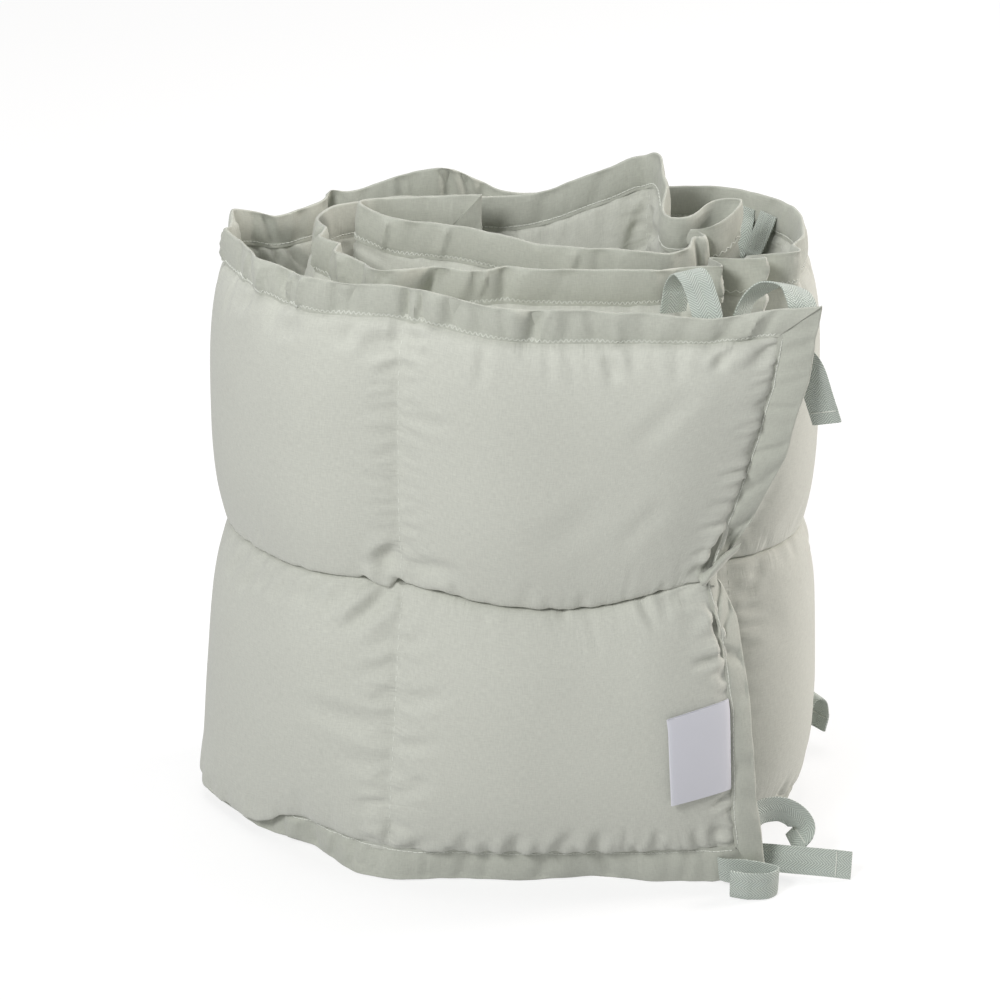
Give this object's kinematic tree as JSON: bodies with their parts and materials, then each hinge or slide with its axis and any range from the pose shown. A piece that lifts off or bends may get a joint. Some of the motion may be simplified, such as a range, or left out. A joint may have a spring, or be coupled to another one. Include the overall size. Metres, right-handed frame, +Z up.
{
  "type": "crib bumper",
  "caption": "Quilted crib bumper with a flat binding, twill tape ties and a plain woven label, rolled up and standing on its long edge.",
  "frame": {"origin": "centre of the footprint's bounding box, on the plane that the lower binding stands on", "axes": "+Z up, from the edge it stands on to the other long edge; +X to the right as seen from the side with the outer end; -Y towards that side"},
  "size_m": [0.3028, 0.2242, 0.3072],
  "materials": {
    "cotton": "fine plain woven cotton, matt",
    "binding": "folded cotton binding, matt",
    "twill_tape": "herringbone twill tape",
    "label": "smooth woven tape, plain"
  },
  "bodies": {
    "root": {"quilted_strip": "cotton", "binding_top": "binding", "binding_foot": "binding", "binding_outer_end": "binding", "binding_inner_end": "binding", "label": "label", "tie_top_corner_inner": "twill_tape", "tie_top_corner_outer": "twill_tape", "tie_second_turn": "twill_tape", "tie_back_right_long": "twill_tape", "tie_back_right_short": "twill_tape", "tie_foot_corner_arch": "twill_tape", "tie_foot_corner_long": "twill_tape", "tie_foot_front_loop": "twill_tape", "tie_foot_back": "twill_tape"}
  },
  "joints": []
}
